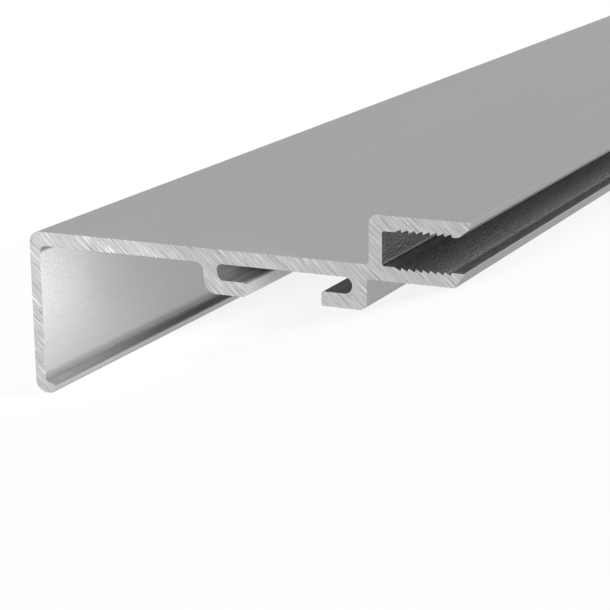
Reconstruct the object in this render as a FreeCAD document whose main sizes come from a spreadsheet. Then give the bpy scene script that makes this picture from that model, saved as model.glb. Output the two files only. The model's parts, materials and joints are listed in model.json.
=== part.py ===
import FreeCAD, Part
import math
import os
from types import SimpleNamespace

import Sketcher

# Aluminium glazing bead: one cut length of a single extruded section.
# The section is drawn in its own axes: x runs across the face plate from the outer face of the leg, z is up, and
# the outer face of the plate is z = 0. The bead runs along Y. The leg hangs down at x = 0, the clip slot is under
# the plate, and the toothed gasket channel opens towards +x at the other edge.

# Driving sizes in millimetres (the last row is a count).
SIZES = {
    "bead_length": 1000.0,
    "face_width": 60.0,
    "plate_wall": 1.8,
    "outer_corner_round": 1.5,
    "inner_corner_round": 0.9,
    # leg and its rounded foot, whose toe stands out from the inner face
    "leg_wall": 1.5,
    "leg_drop": 21.4,
    "foot_round": 1.6,
    "toe_reach": 1.4,
    "toe_side": 1.1,
    "toe_slope": 0.45,
    "toe_under_round": 0.7,
    "toe_edge_round": 0.25,
    "toe_root_round": 0.5,
    # clip slot: a wide undercut between two hooks, open downwards
    "slot_centre": 36.0,
    "slot_width": 18.3,
    "slot_opening": 10.2,
    "slot_height": 2.05,
    "slot_draft": 0.3,
    "slot_chamfer": 0.45,
    "slot_corner_round": 0.7,
    "hook_lip_wall": 1.8,
    "hook_tip_round": 0.3,
    "outer_hook_wall": 1.7,
    "outer_hook_heel": 1.7,
    "outer_hook_root": 1.15,
    "inner_hook_wall": 1.9,
    "inner_hook_heel": 1.0,
    # gasket channel
    "channel_depth": 11.0,
    "channel_height": 4.2,
    "channel_back_wall": 1.7,
    "channel_lip_wall": 1.9,
    "channel_back_round": 1.1,
    "channel_root_round": 0.5,
    "channel_corner_round": 0.3,
    "lead_in_depth": 1.4,
    "lead_in_height": 1.2,
    "lead_in_round": 0.8,
    "lower_lip_setback": 0.6,
    "lower_lip_bevel": 1.2,
    # saw teeth that grip the gasket stem, in both walls of the channel
    "tooth_start": 2.35,
    "tooth_pitch": 0.9,
    "tooth_depth": 0.38,
    "tooth_back": 0.15,
    "tooth_count": 8,
}

SHEET = "Sizes"
NODE = "glazing_bead"


class Bound:
    """A number together with the sheet expression that it is worked out from."""

    def __init__(self, number, text):
        self.number = number
        self.text = text

    def __add__(self, other):
        return Bound(self.number + other.number, f"({self.text} + {other.text})")

    def __sub__(self, other):
        return Bound(self.number - other.number, f"({self.text} - {other.text})")

    def __neg__(self):
        return Bound(-self.number, f"(-{self.text})")

    def half(self):
        return Bound(self.number / 2, f"({self.text} / 2)")


def make_sheet(doc):
    """Writes the driving sizes into the sheet and returns them as bound numbers."""
    sheet = doc.addObject("Spreadsheet::Sheet", SHEET)
    bound = {}
    for row, (alias, value) in enumerate(SIZES.items(), start=1):
        sheet.set(f"A{row}", alias.replace("_", " "))
        sheet.set(f"B{row}", str(value))
        sheet.setAlias(f"B{row}", alias)
        bound[alias] = Bound(value, f"{SHEET}.{alias}")
    doc.recompute()
    return SimpleNamespace(**bound)


def origin_plane(body, role):
    """One of the body's own origin planes."""
    return next(item for item in body.Origin.OriginFeatures if item.Role == role)


def hold(sketch, kind, element, end, place):
    """Holds one coordinate of a point at its bound distance from the sketch's origin."""
    index = sketch.addConstraint(Sketcher.Constraint(kind, -1, 1, element, end, place.number))
    sketch.setExpression(f"Constraints[{index}]", place.text)


def section_sketch(body, name, rings):
    """A sketch across the bead. Each ring is a list of corners (x, z), or (x, z, centre_x) where a round
    end runs counterclockwise from that corner to the next one."""
    sketch = body.newObject("Sketcher::SketchObject", name)
    sketch.AttachmentSupport = (origin_plane(body, "XZ_Plane"), "")
    sketch.MapMode = "FlatFace"
    for ring in rings:
        first = sketch.GeometryCount
        for corner, following in zip(ring, ring[1:] + ring[:1]):
            start = FreeCAD.Vector(corner[0].number, corner[1].number)
            end = FreeCAD.Vector(following[0].number, following[1].number)
            if len(corner) == 2:
                sketch.addGeometry(Part.LineSegment(start, end))
                continue
            centre = FreeCAD.Vector(corner[2].number, (start.y + end.y) / 2)
            circle = Part.Circle(centre, FreeCAD.Vector(0, 0, 1), centre.distanceToPoint(start))
            begins = math.atan2(start.y - centre.y, start.x - centre.x)
            ends = math.atan2(end.y - centre.y, end.x - centre.x)
            sketch.addGeometry(Part.ArcOfCircle(circle, begins, ends))
        for number, corner in enumerate(ring):
            element = first + number
            following = first + (number + 1) % len(ring)
            sketch.addConstraint(Sketcher.Constraint("Coincident", element, 2, following, 1))
            hold(sketch, "DistanceX", element, 1, corner[0])
            hold(sketch, "DistanceY", element, 1, corner[1])
            if len(corner) == 3:
                hold(sketch, "DistanceX", element, 3, corner[2])
    return sketch


def extrude(body, name, rings, dim):
    """Adds a stretch of the section over the bead's whole length, half to each side of the middle."""
    pad = body.newObject("PartDesign::Pad", name)
    pad.Profile = section_sketch(body, name + "Section", rings)
    pad.Midplane = True
    pad.setExpression("Length", dim.bead_length.text)
    return pad


def groove(body, name, rings, dim):
    """Takes a stretch out of the section over the bead's whole length."""
    pocket = body.newObject("PartDesign::Pocket", name)
    pocket.Profile = section_sketch(body, name + "Section", rings)
    pocket.Midplane = True
    pocket.setExpression("Length", dim.bead_length.text)
    return pocket


def long_edges(shape, corners):
    """The names of the edges that run along the bead through the given section corners."""
    near = 1e-4
    names = []
    for x, z in corners:
        for number, edge in enumerate(shape.Edges, start=1):
            box = edge.BoundBox
            off = max(abs(box.XMin - x.number), abs(box.XMax - x.number),
                      abs(box.ZMin - z.number), abs(box.ZMax - z.number))
            if box.YLength > near and off < near:
                names.append(f"Edge{number}")
                break
        else:
            raise RuntimeError(f"no edge along the bead at x {x.number:.3f}, z {z.number:.3f}")
    return names


def round_edges(doc, body, name, radius, corners):
    """Rounds or fills the long edges at the given section corners."""
    doc.recompute()
    base = body.Tip
    fillet = body.newObject("PartDesign::Fillet", name)
    fillet.Base = (base, long_edges(base.Shape, corners))
    fillet.setExpression("Radius", radius.text)
    return fillet


def plate_and_leg(body, dim, at):
    """The flat face plate with the leg hanging from its outer edge. The plate runs on as the lower lip of the
    gasket channel, whose end is bevelled back underneath."""
    extrude(body, "PlateAndLeg", [[
        (at.zero, -dim.leg_drop),
        (dim.leg_wall, -dim.leg_drop),
        (dim.leg_wall, -dim.plate_wall),
        (at.lower_lip_end - dim.lower_lip_bevel, -dim.plate_wall),
        (at.lower_lip_end, at.zero),
        (at.zero, at.zero),
    ]], dim)
    extrude(body, "Toe", [[
        (dim.leg_wall.half(), -dim.leg_drop),
        (at.toe_end, -dim.leg_drop),
        (at.toe_end, at.toe_edge),
        (dim.leg_wall, at.toe_root),
        (dim.leg_wall.half(), at.toe_root),
    ]], dim)


def clip_slot(body, dim, at):
    """The two hooks under the plate: a rail with a wide slot that is open downwards through a narrower gap.
    The slot's outer end is drafted and chamfered, and its inner end is fully round."""
    extrude(body, "ClipRail", [[
        (at.outer_hook_face, at.hook_bottom),
        (at.inner_hook_face, at.hook_bottom),
        (at.inner_hook_face, -dim.plate_wall.half()),
        (at.outer_hook_face, -dim.plate_wall.half()),
    ]], dim)
    groove(body, "ClipSlot", [[
        (at.outer_tip, at.hook_bottom),
        (at.inner_tip, at.hook_bottom),
        (at.inner_tip, at.lip_top),
        (at.slot_round_centre, at.lip_top, at.slot_round_centre),
        (at.slot_round_centre, -dim.plate_wall),
        (at.slot_outer_end, -dim.plate_wall),
        (at.slot_outer_end + dim.slot_draft, at.lip_top + dim.slot_chamfer),
        (at.slot_outer_end + dim.slot_draft + dim.slot_chamfer, at.lip_top),
        (at.outer_tip, at.lip_top),
    ]], dim)


def gasket_channel(body, dim, at):
    """The back wall and the upper lip of the gasket channel. The lip's end opens with a sloping lead-in, whose
    lower edge is rounded with the other corners."""
    extrude(body, "ChannelWall", [[
        (at.channel_back, -dim.plate_wall.half()),
        (at.channel_floor, -dim.plate_wall.half()),
        (at.channel_floor, dim.channel_height),
        (dim.face_width - dim.lead_in_depth, dim.channel_height),
        (dim.face_width, dim.channel_height + dim.lead_in_height),
        (dim.face_width, at.channel_top),
        (at.channel_back, at.channel_top),
    ]], dim)


def round_section(doc, body, dim, at):
    """The rounds and fillets that the die leaves on the section's corners."""
    rounds = [
        ("OuterCorner", dim.outer_corner_round, [(at.zero, at.zero)]),
        ("InnerCorner", dim.inner_corner_round, [(dim.leg_wall, -dim.plate_wall)]),
        ("FootRound", dim.foot_round, [(at.zero, -dim.leg_drop)]),
        ("ToeUnderside", dim.toe_under_round, [(at.toe_end, -dim.leg_drop)]),
        ("ToeEdge", dim.toe_edge_round, [(at.toe_end, at.toe_edge)]),
        ("ToeRoot", dim.toe_root_round, [(dim.leg_wall, at.toe_root)]),
        ("OuterHookHeel", dim.outer_hook_heel, [(at.outer_hook_face, at.hook_bottom)]),
        ("OuterHookRoot", dim.outer_hook_root, [(at.outer_hook_face, -dim.plate_wall)]),
        ("InnerHookHeel", dim.inner_hook_heel, [(at.inner_hook_face, at.hook_bottom)]),
        ("SlotCorner", dim.slot_corner_round, [(at.slot_outer_end, -dim.plate_wall)]),
        ("HookTips", dim.hook_tip_round, [
            (tip, level) for tip in (at.outer_tip, at.inner_tip) for level in (at.hook_bottom, at.lip_top)]),
        ("ChannelBack", dim.channel_back_round, [(at.channel_back, at.channel_top)]),
        ("ChannelRoot", dim.channel_root_round, [(at.channel_back, at.zero)]),
        ("ChannelCorners", dim.channel_corner_round, [
            (at.channel_floor, level) for level in (at.zero, dim.channel_height)]),
        ("LeadIn", dim.lead_in_round, [(dim.face_width - dim.lead_in_depth, dim.channel_height)]),
    ]
    for name, radius, corners in rounds:
        round_edges(doc, body, name, radius, corners)


def gasket_teeth(body, dim, at):
    """Saw-toothed notches in both walls of the channel. Each has a long slope on the mouth side of a tooth and
    a steep back that faces the channel's floor, so a gasket stem slides in and is held."""
    slope = dim.tooth_pitch - dim.tooth_back
    notch = at.channel_floor + dim.tooth_start
    first = groove(body, "ToothNotch", [
        [(notch - slope, at.zero), (notch, -dim.tooth_depth), (notch + dim.tooth_back, at.zero)],
        [(notch - slope, dim.channel_height), (notch + dim.tooth_back, dim.channel_height),
         (notch, dim.channel_height + dim.tooth_depth)],
    ], dim)
    row = body.newObject("PartDesign::LinearPattern", "ToothRow")
    row.Originals = [first]
    row.Direction = (first.Profile[0], ["H_Axis"])
    row.Mode = "Spacing"
    row.setExpression("Offset", dim.tooth_pitch.text)
    row.setExpression("Occurrences", dim.tooth_count.text)
    body.Tip = row


def section_places(dim):
    """The levels and stations of the section that several features share."""
    at = SimpleNamespace(zero=dim.face_width - dim.face_width)
    at.lower_lip_end = dim.face_width - dim.lower_lip_setback
    at.toe_end = dim.leg_wall + dim.toe_reach
    at.toe_edge = dim.toe_side - dim.leg_drop
    at.toe_root = at.toe_edge + dim.toe_slope
    at.slot_outer_end = dim.slot_centre - dim.slot_width.half()
    at.slot_inner_end = dim.slot_centre + dim.slot_width.half()
    at.slot_round_centre = at.slot_inner_end - dim.slot_height.half()
    at.outer_tip = dim.slot_centre - dim.slot_opening.half()
    at.inner_tip = dim.slot_centre + dim.slot_opening.half()
    at.outer_hook_face = at.slot_outer_end - dim.outer_hook_wall
    at.inner_hook_face = at.slot_inner_end + dim.inner_hook_wall
    at.lip_top = -(dim.plate_wall + dim.slot_height)
    at.hook_bottom = at.lip_top - dim.hook_lip_wall
    at.channel_floor = dim.face_width - dim.channel_depth
    at.channel_back = at.channel_floor - dim.channel_back_wall
    at.channel_top = dim.channel_height + dim.channel_lip_wall
    return at


def resting_tilt(dim, at):
    """The angle in degrees at which the bead lies on a floor: on the round under the toe, and on whichever of
    the lower lip's bevelled edge and the inner hook's heel the floor meets first."""
    foot_x = at.toe_end.number - dim.toe_under_round.number
    foot_z = dim.toe_under_round.number - dim.leg_drop.number
    heel = dim.inner_hook_heel.number
    rests = [
        (at.lower_lip_end.number - dim.lower_lip_bevel.number, -dim.plate_wall.number, 0.0),
        (at.inner_hook_face.number - heel, at.hook_bottom.number + heel, heel),
    ]
    tilts = []
    for x, z, radius in rests:
        reach = math.hypot(x - foot_x, z - foot_z)
        rise = math.atan2(z - foot_z, x - foot_x)
        tilts.append(rise + math.asin((dim.toe_under_round.number - radius) / reach))
    return math.degrees(min(tilts))


def lay_down(doc, body, dim, at):
    """Lays the bead on the floor, with the origin under the middle of its box."""
    turn = FreeCAD.Rotation(FreeCAD.Vector(0, 1, 0), resting_tilt(dim, at))
    body.Placement = FreeCAD.Placement(FreeCAD.Vector(), turn)
    doc.recompute()
    box = body.Shape.optimalBoundingBox()
    body.Placement = FreeCAD.Placement(FreeCAD.Vector(-box.Center.x, -box.Center.y, -box.ZMin), turn)
    doc.recompute()


def check(doc, body):
    """Stops on a failed object, a feature that changed nothing, or a solid that isn't one valid piece."""
    for item in doc.Objects:
        if "Invalid" in item.State or "Error" in item.State:
            raise RuntimeError(f"{item.Label} failed: {item.State}")
    volume = 0.0
    for item in body.Group:
        if not item.isDerivedFrom("PartDesign::Feature"):
            continue
        grown = item.Shape.Volume - volume
        volume = item.Shape.Volume
        takes = item.isDerivedFrom("PartDesign::Pocket")
        if grown == 0.0 or (takes and grown > 0.0):
            raise RuntimeError(f"{item.Label} changed the volume by {grown:.3f}")
    if body.Shape.isNull() or not body.Shape.isValid() or len(body.Shape.Solids) != 1:
        raise RuntimeError("the bead isn't one valid solid")


os.makedirs("parts", exist_ok=True)
document = FreeCAD.newDocument("GlazingBead")
sizes = make_sheet(document)
places = section_places(sizes)
bead = document.addObject("PartDesign::Body", "Bead")
bead.Label = NODE
plate_and_leg(bead, sizes, places)
clip_slot(bead, sizes, places)
gasket_channel(bead, sizes, places)
round_section(document, bead, sizes, places)
gasket_teeth(bead, sizes, places)
document.recompute()
lay_down(document, bead, sizes, places)
check(document, bead)
bead.Shape.exportStep(f"parts/{bead.Label}.step")
print(f"{bead.Label}: volume {bead.Shape.Volume:.1f} mm3, tilt {resting_tilt(sizes, places):.2f} degrees")
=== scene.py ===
# %% [markdown]
# # A glazing bead, sawn from a length of extruded aluminium
# A glazing bead is a long trim that holds a pane of glass in the frame of a window or a door. It is one
# piece of stock. Hot aluminium is pushed through a steel die, so its section is the same all along, and
# a saw then cuts it to length. This lesson draws that section corner by corner, gives it the round
# edges of the die, pulls it out to a metre, and then makes the two finishes that such a piece has:
# satin metal along its length, and bright sawn metal on its ends.

# %% [markdown]
# ## The shared frame
# The measured solid of the bead is loaded first. It is never moved or changed, and everything here is
# fitted to it. Its box later gives the places of the bead's two ends.

# %% Load the frame
import json
import math

import bmesh
import bpy
from mathutils import Matrix, Vector


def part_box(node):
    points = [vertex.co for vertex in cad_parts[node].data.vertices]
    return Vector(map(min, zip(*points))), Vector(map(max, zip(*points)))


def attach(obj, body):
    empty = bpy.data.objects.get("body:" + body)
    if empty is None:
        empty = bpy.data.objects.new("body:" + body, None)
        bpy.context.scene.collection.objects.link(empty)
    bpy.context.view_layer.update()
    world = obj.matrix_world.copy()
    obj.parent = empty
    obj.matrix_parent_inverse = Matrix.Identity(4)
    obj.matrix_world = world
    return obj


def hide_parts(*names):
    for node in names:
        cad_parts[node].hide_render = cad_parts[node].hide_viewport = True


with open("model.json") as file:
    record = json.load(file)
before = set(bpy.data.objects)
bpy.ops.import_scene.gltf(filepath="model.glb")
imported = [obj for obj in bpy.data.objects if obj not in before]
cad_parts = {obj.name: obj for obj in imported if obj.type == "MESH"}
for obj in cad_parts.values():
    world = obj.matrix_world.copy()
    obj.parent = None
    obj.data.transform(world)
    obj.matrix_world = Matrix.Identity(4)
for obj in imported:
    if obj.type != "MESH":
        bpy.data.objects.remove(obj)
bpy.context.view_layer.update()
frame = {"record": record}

# %% [markdown]
# ## Where the section lies
# The bead lies on the floor on its foot and on the edge of its gasket channel, so its face slopes. The
# section is easier to draw with the face level, so it is drawn that way and laid down afterwards. The
# slope and the corner where face and leg meet are worked out from two of the solid's flat faces, whose
# places and directions the record states. Lengths of the section are written in millimetres, and
# Blender's own unit is the metre.

# %% Measure the slope, the corner and the length
MM = 0.001


def flat_face(name):
    """The place and the direction of a flat face that the record states."""
    found = [mount for mount in frame["record"]["mounts"] if mount["name"] == name][0]
    return Vector(found["pos_m"]), Vector(found["axis"]).normalized()


face_place, face_normal = flat_face("plate_face")
leg_place, leg_normal = flat_face("leg_face")
slope = math.atan2(face_normal.x, face_normal.z)
section_corner = face_place.dot(face_normal) * face_normal + leg_place.dot(leg_normal) * leg_normal
near_end, far_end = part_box("glazing_bead")[0].y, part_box("glazing_bead")[1].y
print(f"the face slopes by {math.degrees(slope):.2f} degrees; the bead is {far_end - near_end:.3f} m long")

# %% [markdown]
# ## Drawing the section
# A modeller draws such an outline with a single point: it is extruded to each corner in turn, with E
# and a typed distance, until it is back where it began. Here a plane is added and merged into one point
# at the outer corner, and the helper below extrudes it to the next corner. It also keeps how round the
# die makes that corner, because the rounding is done once the outline is closed. X runs across the
# face, away from the leg, and Z runs up. A corner that is given no round of its own still gets the
# small one that every die leaves.

# %% Start at the outer corner
die_round = 0.12

outline = []
bpy.ops.object.select_all(action="DESELECT")
bpy.ops.mesh.primitive_plane_add(size=MM, location=(0, 0, 0), rotation=(math.pi / 2, 0, 0))
bead = bpy.context.object
bead.name = bead.data.name = "bead"
bpy.ops.object.transform_apply(location=True, rotation=True, scale=True)
bpy.ops.object.mode_set(mode="EDIT")
bpy.ops.mesh.select_all(action="SELECT")
bpy.ops.mesh.merge(type="CENTER")


def draw_to(x, z, rounding=die_round):
    """Extrudes the last point of the outline to the next corner, and keeps the corner's round."""
    if outline:
        last_x, last_z = outline[-1][:2]
        step = ((x - last_x) * MM, 0, (z - last_z) * MM)
        bpy.ops.mesh.extrude_region_move(TRANSFORM_OT_translate={"value": step})
    outline.append((x, z, rounding))


outer_corner_round = 1.5
draw_to(0, 0, outer_corner_round)
print("the outline starts at the corner of face and leg")

# %% [markdown]
# ## The leg and its foot
# The leg hangs from the edge of the face and covers the side of the window's frame. It ends in a round
# foot with a small toe that points inwards, whose top slopes back to the leg.

# %% Draw the leg and the foot
plate_wall = 1.8
leg_wall = 1.5
leg_drop = 21.4
foot_round = 1.6
toe_reach = 1.4
toe_side = 1.1
toe_slope = 0.45
toe_under_round = 0.7
toe_edge_round = 0.25
toe_root_round = 0.5
inner_corner_round = 0.9

toe_end = leg_wall + toe_reach
toe_top = -leg_drop + toe_side
toe_root = toe_top + toe_slope
draw_to(0, -leg_drop, foot_round)
draw_to(toe_end, -leg_drop, toe_under_round)
draw_to(toe_end, toe_top, toe_edge_round)
draw_to(leg_wall, toe_root, toe_root_round)
draw_to(leg_wall, -plate_wall, inner_corner_round)
print(f"the leg is {leg_drop} mm deep and {leg_wall} mm thick")

# %% [markdown]
# ## The two hooks of the clip slot
# Two hooks under the face point at each other. The slot between them slides over a clip that is screwed
# to the window's frame. The outer hook's heel is round and its slot side slopes a little. The inner
# hook's slot side is a half round, as high as the slot.

# %% Draw the outer hook
slot_centre = 36.0
slot_width = 18.3
slot_opening = 10.2
slot_height = 2.05
slot_draft = 0.3
slot_chamfer = 0.45
slot_corner_round = 0.7
hook_lip_wall = 1.8
hook_tip_round = 0.3
outer_hook_wall = 1.7
outer_hook_heel = 1.7
outer_hook_root = 1.15

slot_start = slot_centre - slot_width / 2
slot_floor = -plate_wall - slot_height
hook_bottom = slot_floor - hook_lip_wall
outer_tip = slot_centre - slot_opening / 2
outer_side = slot_start - outer_hook_wall
draft_end = slot_start + slot_draft
chamfer_end = draft_end + slot_chamfer
draw_to(outer_side, -plate_wall, outer_hook_root)
draw_to(outer_side, hook_bottom, outer_hook_heel)
draw_to(outer_tip, hook_bottom, hook_tip_round)
draw_to(outer_tip, slot_floor, hook_tip_round)
draw_to(chamfer_end, slot_floor)
draw_to(draft_end, slot_floor + slot_chamfer)
draw_to(slot_start, -plate_wall, slot_corner_round)
print(f"the outer hook reaches from {outer_side:.2f} to {outer_tip:.2f} mm")

# %% Draw the inner hook
inner_hook_wall = 1.9
inner_hook_heel = 1.0

slot_end = slot_centre + slot_width / 2
inner_tip = slot_centre + slot_opening / 2
inner_side = slot_end + inner_hook_wall
draw_to(slot_end, -plate_wall, slot_height / 2)
draw_to(slot_end, slot_floor, slot_height / 2)
draw_to(inner_tip, slot_floor, hook_tip_round)
draw_to(inner_tip, hook_bottom, hook_tip_round)
draw_to(inner_side, hook_bottom, inner_hook_heel)
draw_to(inner_side, -plate_wall)
print(f"the inner hook reaches from {inner_tip:.2f} to {inner_side:.2f} mm")

# %% [markdown]
# ## The gasket channel
# The face ends in a channel that opens sideways. A rubber gasket is pressed in there, and rows of small
# teeth on both lips hold it, raked so that the gasket goes in easily and doesn't come out. The teeth
# are drawn by a loop for each lip: a long slope down into a notch, and a steep side up to the next
# tooth's tip. Their tips are nearly sharp, so their round is the smallest of all.

# %% Draw the lower lip with its teeth
face_width = 60.0
channel_depth = 11.0
lower_lip_setback = 0.6
lower_lip_bevel = 1.2
tooth_start = 2.35
tooth_pitch = 0.9
tooth_depth = 0.38
tooth_back = 0.15
tooth_count = 8
tooth_round = 0.04

channel_back = face_width - channel_depth
lip_edge = face_width - lower_lip_setback
notches = [channel_back + tooth_start + place * tooth_pitch for place in range(tooth_count)]
first_slope = notches[0] - tooth_pitch + tooth_back
draw_to(lip_edge - lower_lip_bevel, -plate_wall)
draw_to(lip_edge, 0)
for notch in reversed(notches):
    draw_to(notch + tooth_back, 0, tooth_round)
    draw_to(notch, -tooth_depth, tooth_round)
draw_to(first_slope, 0)
print(f"{tooth_count} teeth on the lower lip, {tooth_pitch} mm apart")

# %% Draw the upper lip with its teeth
channel_height = 4.2
channel_lip_wall = 1.9
channel_back_wall = 1.7
channel_back_round = 1.1
channel_root_round = 0.5
lead_in_depth = 1.4
lead_in_height = 1.2
lead_in_round = 0.8
channel_corner_round = 0.3

channel_top = channel_height + channel_lip_wall
back_side = channel_back - channel_back_wall
draw_to(channel_back, 0, channel_corner_round)
draw_to(channel_back, channel_height, channel_corner_round)
draw_to(first_slope, channel_height)
for notch in notches:
    draw_to(notch, channel_height + tooth_depth, tooth_round)
    draw_to(notch + tooth_back, channel_height, tooth_round)
draw_to(face_width - lead_in_depth, channel_height, lead_in_round)
draw_to(face_width, channel_height + lead_in_height)
draw_to(face_width, channel_top)
draw_to(back_side, channel_top, channel_back_round)
draw_to(back_side, 0, channel_root_round)
print(f"the channel is {channel_depth} mm deep and {channel_height} mm high")

# %% [markdown]
# ## Closing and rounding the outline
# F fills the closed outline with one face. Each corner is then beveled as a vertex, which replaces it
# by an arc. The arc has to start where a circle of the wanted radius touches the two sides, and that
# distance is the radius times the tangent of half the turn between the sides. Big rounds get more steps
# than small ones, so that all of them look smooth from close by.

# %% Close the outline
bpy.ops.mesh.select_all(action="SELECT")
bpy.ops.mesh.edge_face_add()
print(f"the outline has {len(outline)} corners")

# %% Round the corners
fewest_steps = 3
shortest_step = 0.03
step_growth = 0.07
same_point = 0.001 * MM


def round_corner(place):
    """Bevels the corner at that place in the outline into an arc that touches both of its sides."""
    x, z, rounding = outline[place]
    before, after = outline[place - 1], outline[(place + 1) % len(outline)]
    arriving = Vector((x - before[0], z - before[1]))
    leaving = Vector((after[0] - x, after[1] - z))
    turn = arriving.angle(leaving)
    step_length = shortest_step + step_growth * rounding
    steps = max(fewest_steps, math.ceil(turn * rounding / step_length))
    bpy.ops.mesh.select_all(action="DESELECT")
    mesh = bmesh.from_edit_mesh(bead.data)
    corner = min(mesh.verts, key=lambda point: (point.co - Vector((x * MM, 0, z * MM))).length)
    corner.select = True
    mesh.select_flush_mode()
    reach = rounding * math.tan(turn / 2)
    bpy.ops.mesh.bevel(
        affect="VERTICES", offset=reach * MM, segments=steps, profile=0.5, clamp_overlap=False)
    return steps


arc_steps = sum(round_corner(place) for place in range(len(outline)))
bpy.ops.mesh.select_all(action="SELECT")
bpy.ops.mesh.remove_doubles(threshold=same_point)
print(f"the {len(outline)} corners are round, with {arc_steps} steps in all")

# %% [markdown]
# ## Pulling the section out to its length
# The face is extruded along the bead, which makes a closed solid, and its normals are made to point
# outwards. The whole bead is then turned to its slope and moved to its place, and both are applied, so
# that the piece's object stays at the origin and its place is in its mesh.

# %% Extrude the section and lay the bead down
bpy.ops.mesh.select_all(action="SELECT")
bpy.ops.mesh.extrude_region_move(TRANSFORM_OT_translate={"value": (0, far_end - near_end, 0)})
bpy.ops.mesh.select_all(action="SELECT")
bpy.ops.mesh.normals_make_consistent(inside=False)
bpy.ops.object.mode_set(mode="OBJECT")
bead.location = (section_corner.x, near_end, section_corner.z)
bead.rotation_euler.y = slope
bpy.ops.object.transform_apply(location=True, rotation=True, scale=True)
print(f"the bead has {len(bead.data.polygons)} faces")

# %% [markdown]
# ## Smooth rounds and flat faces
# Smooth shading by angle makes the arcs look round and keeps the sharp corners. Next to an arc it would
# also bend the light on the flat face beside it, so a weighted normal modifier gives each large face
# its own direction back.

# %% Shade the bead
sharpest_smooth = math.radians(35)
bpy.ops.object.shade_smooth_by_angle(angle=sharpest_smooth)
weighting = bead.modifiers.new("weighted normals", "WEIGHTED_NORMAL")
weighting.keep_sharp = True
bpy.ops.object.modifier_apply(modifier=weighting.name)
print("the rounds are smooth and the faces are flat")

# %% [markdown]
# ## Nodes for the finishes
# All the finishes are metal, and they get their detail from noise, some of it stretched one way. The
# helpers in the next cells keep the node code short. They work in the bead's own directions: the
# object's coordinates are turned back by the slope, so that X runs across the face again and Y runs
# along the bead. Polished metal mirrors more at a flat angle than head on. This metal is dull and does
# so only a little, so the specular tint, which is its tone at flat angles, is set well below white.

# %% A helper for a new finish
edge_tone = 0.62


def new_finish(name, colour, roughness):
    """A new metal finish with that base colour and roughness, its node tree and its shader."""
    finish = bpy.data.materials.new(name)
    finish.use_nodes = True
    tree = finish.node_tree
    shader = tree.nodes["Principled BSDF"]
    shader.inputs["Metallic"].default_value = 1.0
    shader.inputs["Specular Tint"].default_value = (edge_tone, edge_tone, edge_tone, 1)
    shader.inputs["Base Color"].default_value = (*colour, 1)
    shader.inputs["Roughness"].default_value = roughness
    return finish, tree, shader


print("the helper for a new finish is ready")

# %% Helpers for places on the bead
level_corner = Matrix.Rotation(-slope, 3, "Y") @ Vector((section_corner.x, 0, section_corner.z))


def section_directions(tree, turn=0.0, stretch=(1, 1, 1)):
    """The place on the bead, with X across its face, then turned by an angle, and each axis scaled."""
    place = tree.nodes.new("ShaderNodeTexCoord")
    level = tree.nodes.new("ShaderNodeMapping")
    level.inputs["Rotation"].default_value = (0, -slope + turn, 0)
    tree.links.new(place.outputs["Object"], level.inputs["Vector"])
    scaled = tree.nodes.new("ShaderNodeMapping")
    scaled.inputs["Scale"].default_value = stretch
    tree.links.new(level.outputs["Vector"], scaled.inputs["Vector"])
    return scaled.outputs["Vector"]


def distance_from(tree, x, z):
    """How far the surface is from a line along the bead, at that place of the section in millimetres."""
    place = tree.nodes.new("ShaderNodeTexCoord")
    centred = tree.nodes.new("ShaderNodeMapping")
    centred.inputs["Scale"].default_value = (1, 0, 1)
    centred.inputs["Rotation"].default_value = (0, -slope, 0)
    centred.inputs["Location"].default_value = -(level_corner + Vector((x, 0, z)) * MM)
    distance = tree.nodes.new("ShaderNodeVectorMath")
    distance.operation = "LENGTH"
    tree.links.new(place.outputs["Object"], centred.inputs["Vector"])
    tree.links.new(centred.outputs["Vector"], distance.inputs[0])
    return distance.outputs["Value"]


print("the helpers for places on the bead are ready")

# %% Helpers for noise, numbers, colours and relief
def noise(tree, vector, scale=1.0, detail=2.0):
    """Noise from 0 to 1 at those coordinates."""
    node = tree.nodes.new("ShaderNodeTexNoise")
    node.inputs["Scale"].default_value = scale
    node.inputs["Detail"].default_value = detail
    tree.links.new(vector, node.inputs["Vector"])
    return node.outputs["Fac"]


def spread(tree, value, low, high, new_low, new_high):
    """Carries the range from low to high over to a new range."""
    node = tree.nodes.new("ShaderNodeMapRange")
    ends = {"From Min": low, "From Max": high, "To Min": new_low, "To Max": new_high}
    for socket, number in ends.items():
        node.inputs[socket].default_value = number
    tree.links.new(value, node.inputs["Value"])
    return node.outputs["Result"]


def combine(tree, operation, first, second):
    """Adds or multiplies two values, or takes the larger. Each is an output or a number."""
    node = tree.nodes.new("ShaderNodeMath")
    node.operation = operation
    for socket, value in zip(node.inputs, (first, second)):
        if isinstance(value, (int, float)):
            socket.default_value = value
        else:
            tree.links.new(value, socket)
    return node.outputs["Value"]


def mixed(tree, dark, light, amount):
    """A colour between a darker and a lighter one, each an output or a colour."""
    node = tree.nodes.new("ShaderNodeMix")
    node.data_type = "RGBA"
    for name, colour in (("A", dark), ("B", light)):
        if isinstance(colour, tuple):
            node.inputs[name].default_value = (*colour, 1)
        else:
            tree.links.new(colour, node.inputs[name])
    tree.links.new(amount, node.inputs["Factor"])
    return node.outputs["Result"]


def relief(tree, shader, height):
    """Gives the surface a relief, by a height in millimetres."""
    node = tree.nodes.new("ShaderNodeBump")
    node.inputs["Strength"].default_value = 1.0
    node.inputs["Distance"].default_value = MM
    tree.links.new(height, node.inputs["Height"])
    tree.links.new(node.outputs["Normal"], shader.inputs["Normal"])


print("the helpers for noise, numbers, colours and relief are ready")
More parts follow.
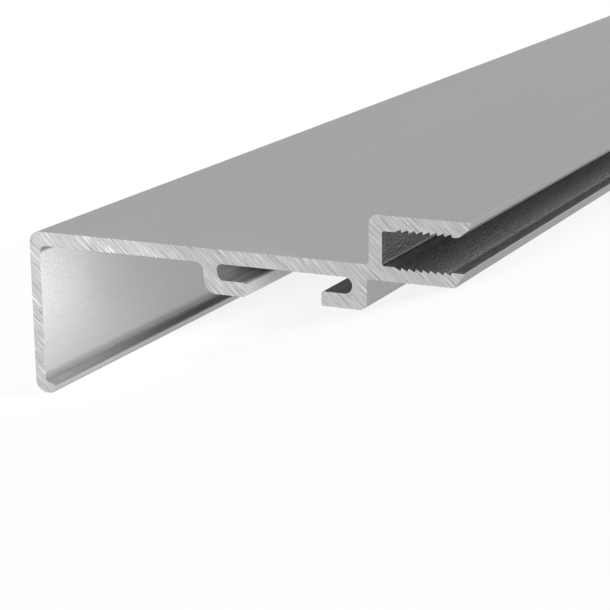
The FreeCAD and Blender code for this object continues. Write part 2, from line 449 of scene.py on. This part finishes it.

# %% [markdown]
# ## Satin metal along the bead
# The die leaves faint lines along the metal, and the metal between them has a fine sandy grain. The
# lines are noise that is fine across the bead and hundreds of times longer along it, and they show as
# small changes of tone, together with a third noise that is wide and cloudy. The grain is noise of the
# same size in all directions, and it changes the roughness and gives a relief of about three hundredths
# of a millimetre. Close to the narrow corner of leg and face, the colour is mixed with a darker one:
# that is painted shade in the corner.

# %% A helper for painted shade in corners
# Painted shade: a darker tone mixed in close to the corner of leg and face.
corner_shade_tone = (0.17, 0.17, 0.171)
corner_shade_near = 0.7 * MM
corner_shade_far = 1.05 * MM


# Mixes in painted shade: a darker tone close to a line along the bead.
def with_painted_shade(tree, tone, colour, line, near, far):
    """A colour that turns into a darker tone close to a line along the bead."""
    distance = distance_from(tree, *line)
    return mixed(tree, tone, colour, spread(tree, distance, near, far, 0, 1))


print("the helper for dull corners is ready")

# %% Make the satin finish
satin_dark = (0.44, 0.44, 0.442)
satin_light = (0.46, 0.46, 0.462)
satin_smooth = 0.37
satin_rough = 0.43
line_scale = 1500
line_scale_along = 4
line_share = 0.6
line_depth = 0.0004
cloud_stretch = (60, 14, 60)
cloud_share = 0.4
tone_low = 0.35
tone_high = 0.65
grain_scale = 2800
grain_depth = 0.032
grain_low = 0.3
grain_high = 0.7


def satin_finish(name, dark, light, across, line_height, grain_height, painted_shade_places=()):
    """Satin metal between two tones, with heights in millimetres.

    The number across says how fine its die lines are. Each place of painted shade is a darker tone, a
    line along the bead and the distances from it between which the tone fades out.
    """
    finish, tree, shader = new_finish(name, light, satin_rough)
    line_stretch = (across, line_scale_along, across)
    die_lines = noise(tree, section_directions(tree, stretch=line_stretch), detail=3.0)
    grain = noise(tree, section_directions(tree), grain_scale)
    clouds = noise(tree, section_directions(tree, stretch=cloud_stretch))
    cloudiness = combine(tree, "MULTIPLY", clouds, cloud_share)
    lines = combine(tree, "MULTIPLY", die_lines, line_share)
    amount = spread(tree, combine(tree, "ADD", cloudiness, lines), tone_low, tone_high, 0, 1)
    colour = mixed(tree, dark, light, amount)
    # Painted shade in the corner of leg and face, in every satin finish.
    colour = with_painted_shade(tree, corner_shade_tone, colour, (leg_wall, -plate_wall), corner_shade_near, corner_shade_far)
    for tone, line, near, far in painted_shade_places:
        colour = with_painted_shade(tree, tone, colour, line, near, far)
    tree.links.new(colour, shader.inputs["Base Color"])
    sandiness = spread(tree, grain, grain_low, grain_high, satin_smooth, satin_rough)
    tree.links.new(sandiness, shader.inputs["Roughness"])
    line_relief = combine(tree, "MULTIPLY", die_lines, line_height)
    grain_relief = combine(tree, "MULTIPLY", grain, grain_height)
    relief(tree, shader, combine(tree, "ADD", line_relief, grain_relief))
    return finish


satin = satin_finish(
    "satin aluminium", satin_dark, satin_light, line_scale, line_depth, grain_depth)
print("the satin finish is ready")

# %% [markdown]
# ## The inside of the leg
# The inside of the leg gets a deeper grain, and just over the toe a darker tone is mixed in: painted
# shade, as in the corner. It has to fade out on the leg and leave the top of the toe as it is. So the
# distance is taken from a line behind the leg's inner face, which the face is closer to than the toe.

# %% Make the finish of the leg's inside
leg_grain_depth = 0.06
# Painted shade just over the toe: a darker tone that fades out up the leg.
toe_shade_tone = (0.31, 0.31, 0.311)
toe_shade_near = 2.02 * MM
toe_shade_far = 2.3 * MM
line_behind_leg = 2.0
line_over_root = 0.2

toe_line = (leg_wall - line_behind_leg, toe_root + line_over_root)
painted_shade_over_toe = [(toe_shade_tone, toe_line, toe_shade_near, toe_shade_far)]
leg_satin = satin_finish(
    "leg aluminium", satin_dark, satin_light, line_scale, line_depth, leg_grain_depth, painted_shade_over_toe)
print("the finish of the leg's inside is ready")

# %% [markdown]
# ## The insides of the slot and the channel
# Where the die forms a narrow slot, its thin tongue drags on the metal. In the clip slot that leaves
# deeper and wider lines, and in the gasket channel a deeper grain. The slot's darker tone is painted
# shade. The channel gets painted shade in its two inner corners: only close to the lower one, and from
# the upper one far down the back wall. The same function makes both finishes, with other numbers.

# %% Make the finish of the slot
# The slot's darker tone is painted shade in its recess, mixed in streaks along the die lines.
slot_shaded_dark = (0.22, 0.22, 0.221)
slot_line_scale = 800
slot_line_depth = 0.12
slot_satin = satin_finish(
    "slot aluminium", slot_shaded_dark, satin_light, slot_line_scale, slot_line_depth, grain_depth)
print("the slot's finish is ready")

# %% Make the finish of the channel
channel_dark = (0.42, 0.42, 0.422)
channel_light = (0.50, 0.50, 0.502)
channel_grain_depth = 0.11
# Painted shade in the channel: darker in the lower crease and down from the upper corner.
crease_shade_tone = (0.30, 0.30, 0.301)
crease_shade_near = 0.12 * MM
crease_shade_far = 0.28 * MM
wall_shade_tone = (0.27, 0.27, 0.271)
wall_shade_near = 0.5 * MM
wall_shade_far = 3.0 * MM
painted_shade_in_channel = [
    (crease_shade_tone, (channel_back, 0), crease_shade_near, crease_shade_far),
    (wall_shade_tone, (channel_back, channel_height), wall_shade_near, wall_shade_far),
]
channel_satin = satin_finish(
    "channel aluminium", channel_dark, channel_light, line_scale, line_depth, channel_grain_depth,
    painted_shade_in_channel)
print("the channel's finish is ready")

# %% [markdown]
# ## Sawn metal on the ends
# The saw goes through the bead at a slant. It leaves bright new metal with fine, nearly straight marks,
# from the outer edge of the face down to the other side. They are stretched noise again, turned to the
# marks' direction: a fine ground, single bright scratches, single deep ones that lie at a slightly
# other angle, and faint wide bands. Only the peaks of the noise become scratches, so each is thin and
# fades out at both of its ends.

# %% Make the noises of the saw marks
sawn_light = (0.70, 0.70, 0.70)
sawn_middle = 0.3
mark_slant = math.radians(-42)
deep_slant = math.radians(-40.3)
ground_stretch = (260, 260, 9000)
bright_stretch = (220, 220, 4400)
deep_stretch = (240, 240, 5000)
band_stretch = (60, 60, 900)

sawn, tree, shader = new_finish("sawn aluminium", sawn_light, sawn_middle)
ground = noise(tree, section_directions(tree, mark_slant, ground_stretch), detail=1.0)
bright = noise(tree, section_directions(tree, mark_slant, bright_stretch), detail=1.0)
deep = noise(tree, section_directions(tree, deep_slant, deep_stretch), detail=1.0)
bands = noise(tree, section_directions(tree, mark_slant, band_stretch), detail=1.0)
print("the four noises of the saw marks are ready")

# %% Make the sawn finish
sawn_dark = (0.335, 0.335, 0.335)
sawn_smooth = 0.22
sawn_rough = 0.34
ground_share = 0.6
bright_share = 0.36
deep_share = 0.36
band_share = 0.12
scratch_low = 0.56
scratch_high = 0.72
mark_low = 0.07
mark_high = 0.7
mark_depth = 0.008

marks = combine(tree, "MULTIPLY", ground, ground_share)
marks = combine(tree, "ADD", marks, spread(tree, bright, scratch_low, scratch_high, 0, bright_share))
marks = combine(tree, "ADD", marks, spread(tree, deep, scratch_low, scratch_high, 0, -deep_share))
marks = combine(tree, "ADD", marks, combine(tree, "MULTIPLY", bands, band_share))
amount = spread(tree, marks, mark_low, mark_high, 0, 1)
tree.links.new(mixed(tree, sawn_dark, sawn_light, amount), shader.inputs["Base Color"])
tree.links.new(spread(tree, amount, 0, 1, sawn_smooth, sawn_rough), shader.inputs["Roughness"])
relief(tree, shader, combine(tree, "MULTIPLY", marks, mark_depth))
print("the sawn finish is ready")

# %% [markdown]
# ## Which face gets which finish
# A modeller would select faces and assign a material to them. Here each face says by its direction and
# its place in the section what it is: an end, the inside of the leg with the round at the toe's root, a
# face inside the slot or the channel, or any other.

# %% Put the finishes on
root_width = 0.35
root_drop = 0.1
end_facing = 0.9

finishes = [satin, sawn, leg_satin, slot_satin, channel_satin]
insides = {
    leg_satin: (leg_wall, leg_wall + root_width, toe_root - root_drop, -plate_wall),
    slot_satin: (slot_start, slot_end, slot_floor, -plate_wall),
    channel_satin: (channel_back, lip_edge, -tooth_depth, channel_height + tooth_depth),
}
for finish in finishes:
    bead.data.materials.append(finish)


def finish_of(face):
    """The finish of a face, by its direction and its place in the section."""
    if abs(face.normal.y) > end_facing:
        return sawn
    place = (Matrix.Rotation(-slope, 3, "Y") @ face.center - level_corner) / MM
    for finish, (left, right, bottom, top) in insides.items():
        beside = left - die_round < place.x < right + die_round
        level = bottom - die_round < place.z < top + die_round
        if beside and level:
            return finish
    return satin


for face in bead.data.polygons:
    face.material_index = finishes.index(finish_of(face))
for number, finish in enumerate(finishes):
    count = sum(face.material_index == number for face in bead.data.polygons)
    print(finish.name, "faces:", count)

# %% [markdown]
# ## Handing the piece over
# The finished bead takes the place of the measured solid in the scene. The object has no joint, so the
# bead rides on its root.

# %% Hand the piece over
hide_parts("glazing_bead")
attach(bead, "root")
print("the finished bead takes the solid's place")

# %% [markdown]
# ## Floor and surroundings
# The floor is plain and pale. To the camera it glows white, and in the metal's reflections nearly so,
# and it meets the white background without an edge. In an oval around the bead it glows a little less
# to the camera, and the rest is lit as any floor is, so the bead's shadow still shows there. The world
# is plain white at a strength of 1, at which metal shows about the tone that it is given.

# %% Lay the floor
floor_size = 40.0

bpy.ops.object.select_all(action="DESELECT")
bpy.ops.mesh.primitive_plane_add(size=floor_size, location=(0, 0, 0))
floor = bpy.context.object
floor.name = "floor"
print("the floor is laid")

# %% Paint the floor
floor_white = 0.9
glow_by_the_bead = 0.85
glow_in_reflections = 0.95
shadow_reach = 0.25
white_reach = 0.6
oval_length = 1 + 2 * far_end

paint = bpy.data.materials.new("floor")
paint.use_nodes = True
tree = paint.node_tree
tree.nodes.clear()
place = tree.nodes.new("ShaderNodeTexCoord")
along_and_across = tree.nodes.new("ShaderNodeMapping")
along_and_across.inputs["Scale"].default_value = (1, 1 / oval_length, 1)
distance = tree.nodes.new("ShaderNodeVectorMath")
distance.operation = "LENGTH"
tree.links.new(place.outputs["Object"], along_and_across.inputs["Vector"])
tree.links.new(along_and_across.outputs["Vector"], distance.inputs[0])
away = distance.outputs["Value"]
glow_to_camera = spread(tree, away, shadow_reach, white_reach, glow_by_the_bead, 1)
path = tree.nodes.new("ShaderNodeLightPath")
mirrored = combine(tree, "MAXIMUM", path.outputs["Is Glossy Ray"], path.outputs["Is Transmission Ray"])
glow_seen = combine(tree, "MULTIPLY", path.outputs["Is Camera Ray"], glow_to_camera)
glow_mirrored = combine(tree, "MULTIPLY", mirrored, glow_in_reflections)
glow_share = combine(tree, "MAXIMUM", glow_seen, glow_mirrored)
matte = tree.nodes.new("ShaderNodeBsdfDiffuse")
matte.inputs["Color"].default_value = (floor_white, floor_white, floor_white, 1)
glow = tree.nodes.new("ShaderNodeEmission")
blend = tree.nodes.new("ShaderNodeMixShader")
output = tree.nodes.new("ShaderNodeOutputMaterial")
tree.links.new(glow_share, blend.inputs["Fac"])
tree.links.new(matte.outputs["BSDF"], blend.inputs[1])
tree.links.new(glow.outputs["Emission"], blend.inputs[2])
tree.links.new(blend.outputs["Shader"], output.inputs["Surface"])
floor.data.materials.append(paint)
print("the floor is painted")

# %% Set up the world
world = bpy.data.worlds.new("studio")
bpy.context.scene.world = world
world.use_nodes = True
backdrop = world.node_tree.nodes["Background"]
backdrop.inputs["Color"].default_value = (1, 1, 1, 1)
backdrop.inputs["Strength"].default_value = 1.0
print("the studio is white")

# %% [markdown]
# ## Lamps
# Two soft lamps stand low and well away from the bead, one at the front left and one at the right. Two
# very small ones stand close in front of the near end, with narrow beams. One shines on the inside of
# the leg and one into the clip slot, and both make a glow there that fades along the bead.

# %% Set the lamps
def soft_lamp(name, place, aim, size, power, beam=180):
    """A square area lamp that faces a point, with its beam in degrees. The camera doesn't see it."""
    bpy.ops.object.light_add(type="AREA", location=place)
    lamp = bpy.context.object
    lamp.name = name
    lamp.data.size = size
    lamp.data.energy = power
    lamp.data.spread = math.radians(beam)
    direction = Vector(aim) - Vector(place)
    lamp.rotation_euler = direction.to_track_quat("-Z", "Y").to_euler()
    lamp.visible_camera = False


soft_lamp("main lamp", place=(-1.0, -1.2, 0.3), aim=(0, -0.5, 0.01), size=0.6, power=2)
soft_lamp("side lamp", place=(1.4, 0.4, 0.12), aim=(0.03, -0.4, 0.005), size=0.5, power=3.5)
soft_lamp("low lamp", place=(0.002, -0.520, 0.007), aim=(-0.029, -0.496, 0.013),
          size=0.010, power=0.026, beam=50)
soft_lamp("slot lamp", place=(0.021, -0.511, 0.005), aim=(0.0016, -0.499, 0.006),
          size=0.004, power=0.002, beam=30)
print("four lamps are set")

# %% [markdown]
# ## Camera
# The camera is close to the near end and just over the floor, to the right of the bead. It looks along
# the bead and is rolled so that the face looks nearly level in the picture.

# %% Place the camera
camera_place = Vector((0.12534, -0.71147, 0.02796))
camera_heading = math.radians(28.857)
camera_dip = math.radians(-5.991)
camera_roll = math.radians(-18.161)
lens_length = 119.16
nearest_seen = 0.01

bpy.ops.object.camera_add(location=camera_place)
camera = bpy.context.object
camera.name = "camera"
camera.matrix_world = (
    Matrix.Translation(camera_place)
    @ Matrix.Rotation(camera_heading, 4, "Z")
    @ Matrix.Rotation(math.pi / 2 + camera_dip, 4, "X")
    @ Matrix.Rotation(camera_roll, 4, "Z")
)
camera.data.lens = lens_length
camera.data.clip_start = nearest_seen
bpy.context.scene.camera = camera
bpy.context.scene.view_settings.view_transform = "Standard"
print("the camera is placed")
